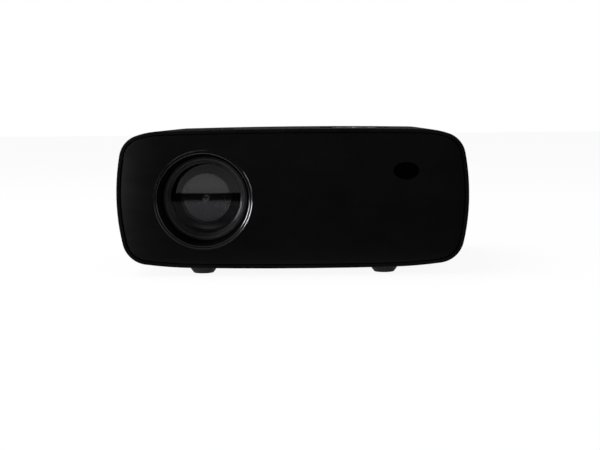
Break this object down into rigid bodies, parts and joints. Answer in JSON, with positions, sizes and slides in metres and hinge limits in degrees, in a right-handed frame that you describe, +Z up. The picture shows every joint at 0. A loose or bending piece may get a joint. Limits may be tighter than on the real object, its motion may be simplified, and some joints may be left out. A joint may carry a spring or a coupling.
{
  "type": "projector with disc player",
  "caption": "Compact black LED projector with a crowned round-cornered housing, a lens with focus and keystone rings, a key pad and a disc tray that loads through its side.",
  "frame": {"origin": "on the table, under the middle of the housing", "axes": "+X to the right as seen from the front, +Y to the rear with the lens and face panel towards -Y, +Z up"},
  "size_m": [0.28, 0.21, 0.1165],
  "materials": {
    "housing_plastic": "fine moulded satin texture, black",
    "fascia_plastic": "smooth satin black",
    "window_smoke": "smoked infrared-passing acrylic",
    "trim_metal": "black anodised, polished lips",
    "lens_black": "black anodised and matt inside",
    "ring_plastic": "moulded black with knurled rim",
    "optic_glass": "coated optical glass",
    "fresnel_acrylic": "clear acrylic, one face grooved",
    "panel_glass": "liquid crystal panel between polarisers",
    "engine_plastic": "glass-filled black",
    "aluminium": "extruded and machined, bare",
    "steel_sheet": "zinc-plated pressed sheet",
    "steel_rod": "ground and polished",
    "screw_steel": "blackened steel",
    "tray_plastic": "moulded dark grey",
    "bezel_plastic": "as the housing",
    "key_plastic": "semi-gloss black",
    "circuit_board": "solder-masked board with parts",
    "socket_metal": "nickel-plated shell",
    "socket_plastic": "black moulding",
    "foot_rubber": "soft black rubber",
    "insert_brass": "turned brass"
  },
  "bodies": {
    "root": {"top_cover": "housing_plastic", "bottom_cover": "housing_plastic", "front_fascia": "fascia_plastic", "rear_panel": "fascia_plastic", "ir_window": "window_smoke", "lens_trim_ring": "trim_metal", "lens_hood": "lens_black", "rubber_feet": "foot_rubber", "tripod_insert": "insert_brass", "case_screws": "screw_steel", "inner_screws": "screw_steel", "lens_mount_tube": "lens_black", "lens_flange": "aluminium", "ring_clip": "steel_sheet", "light_tunnel": "engine_plastic", "fresnel_lenses": "fresnel_acrylic", "heat_glass": "optic_glass", "condenser_lens": "optic_glass", "led_board": "aluminium", "heat_sink": "aluminium", "fan_frame": "engine_plastic", "drive_chassis": "steel_sheet", "drive_lid": "steel_sheet", "mainboard": "circuit_board", "power_board": "circuit_board", "control_board": "circuit_board", "speaker": "socket_plastic", "power_inlet": "socket_plastic", "hdmi_port": "socket_metal", "usb_port": "socket_metal", "audio_jacks": "socket_plastic"},
    "barrel": {"lens_barrel": "lens_black", "lens_retainer": "lens_black", "front_lens": "optic_glass", "middle_lens": "optic_glass", "lens_spacer": "lens_black", "rear_lens": "optic_glass", "focus_pins": "steel_rod"},
    "focus_ring": {"focus_ring": "ring_plastic"},
    "keystone_ring": {"keystone_ring": "ring_plastic"},
    "keystone_slider": {"keystone_slider": "ring_plastic"},
    "image_panel": {"lcd_frame": "engine_plastic", "lcd_panel": "panel_glass"},
    "rails": {"drive_rails": "tray_plastic"},
    "tray": {"disc_tray": "tray_plastic", "tray_bezel": "bezel_plastic", "traverse_frame": "steel_sheet", "guide_rods": "steel_rod"},
    "eject_button": {"eject_button": "bezel_plastic"},
    "turntable": {"spindle_hub": "tray_plastic"},
    "pickup": {"pickup_sled": "tray_plastic"},
    "lead_screw": {"lead_screw": "steel_rod"},
    "fan": {"fan_rotor": "engine_plastic"},
    "up_key": {"up_key": "key_plastic"},
    "down_key": {"down_key": "key_plastic"},
    "left_key": {"left_key": "key_plastic"},
    "right_key": {"right_key": "key_plastic"},
    "ok_key": {"ok_key": "key_plastic"},
    "power_key": {"power_key": "key_plastic"},
    "menu_key": {"menu_key": "key_plastic"}
  },
  "joints": [
    {"name": "focus_turn", "type": "hinge", "parent": "root", "child": "focus_ring", "pos_m": [-0.071, -0.0675, 0.0606], "axis": [0, 1, 0], "range_deg": [-50, 50]},
    {"name": "lens_slide", "type": "slide", "parent": "root", "child": "barrel", "axis": [0, -1, 0], "range_m": [-0.004, 0.004]},
    {"name": "keystone_turn", "type": "hinge", "parent": "root", "child": "keystone_ring", "pos_m": [-0.071, -0.0506, 0.0606], "axis": [0, 1, 0], "range_deg": [-40, 40]},
    {"name": "keystone_slide", "type": "slide", "parent": "root", "child": "keystone_slider", "axis": [0, -1, 0], "range_m": [-0.00285, 0.00285]},
    {"name": "panel_tilt", "type": "hinge", "parent": "root", "child": "image_panel", "pos_m": [-0.071, 0.008, 0.0606], "axis": [1, 0, 0], "range_deg": [-4, 4]},
    {"name": "tray_slide", "type": "slide", "parent": "root", "child": "tray", "axis": [1, 0, 0], "range_m": [0, 0.13]},
    {"name": "rails_slide", "type": "slide", "parent": "root", "child": "rails", "axis": [1, 0, 0], "range_m": [0, 0.065]},
    {"name": "eject_press", "type": "slide", "parent": "tray", "child": "eject_button", "axis": [-1, 0, 0], "range_m": [0, 0.0006], "stiffness_N_per_m": 100, "springref_m": -0.003},
    {"name": "turntable_spin", "type": "hinge", "parent": "tray", "child": "turntable", "pos_m": [0.0717, 0, 0.074], "axis": [0, 0, 1], "continuous": true},
    {"name": "lead_screw_turn", "type": "hinge", "parent": "tray", "child": "lead_screw", "pos_m": [0.0347, 0.0205, 0.07045], "axis": [1, 0, 0], "range_deg": [0, 3720]},
    {"name": "pickup_slide", "type": "slide", "parent": "tray", "child": "pickup", "axis": [-1, 0, 0], "range_m": [0, 0.031]},
    {"name": "fan_spin", "type": "hinge", "parent": "root", "child": "fan", "pos_m": [-0.071, 0.093, 0.0606], "axis": [0, 1, 0], "continuous": true},
    {"name": "up_press", "type": "slide", "parent": "root", "child": "up_key", "axis": [0, 0, -1], "range_m": [0, 0.0006], "stiffness_N_per_m": 100, "springref_m": -0.003},
    {"name": "down_press", "type": "slide", "parent": "root", "child": "down_key", "axis": [0, 0, -1], "range_m": [0, 0.0006], "stiffness_N_per_m": 100, "springref_m": -0.003},
    {"name": "left_press", "type": "slide", "parent": "root", "child": "left_key", "axis": [0, 0, -1], "range_m": [0, 0.0006], "stiffness_N_per_m": 100, "springref_m": -0.003},
    {"name": "right_press", "type": "slide", "parent": "root", "child": "right_key", "axis": [0, 0, -1], "range_m": [0, 0.0006], "stiffness_N_per_m": 100, "springref_m": -0.003},
    {"name": "ok_press", "type": "slide", "parent": "root", "child": "ok_key", "axis": [0, 0, -1], "range_m": [0, 0.0006], "stiffness_N_per_m": 100, "springref_m": -0.003},
    {"name": "power_press", "type": "slide", "parent": "root", "child": "power_key", "axis": [0, 0, -1], "range_m": [0, 0.0006], "stiffness_N_per_m": 100, "springref_m": -0.003},
    {"name": "menu_press", "type": "slide", "parent": "root", "child": "menu_key", "axis": [0, 0, -1], "range_m": [0, 0.0006], "stiffness_N_per_m": 100, "springref_m": -0.003}
  ],
  "couplings": [
    {"joint": "lens_slide", "follows": "focus_turn", "m_per_rad": 0.0045836},
    {"joint": "keystone_slide", "follows": "keystone_turn", "m_per_rad": 0.00407},
    {"joint": "panel_tilt", "follows": "keystone_turn", "ratio": 0.09999},
    {"joint": "rails_slide", "follows": "tray_slide", "ratio": 0.49999},
    {"joint": "lead_screw_turn", "follows": "pickup_slide", "rad_per_m": 2094.2}
  ]
}
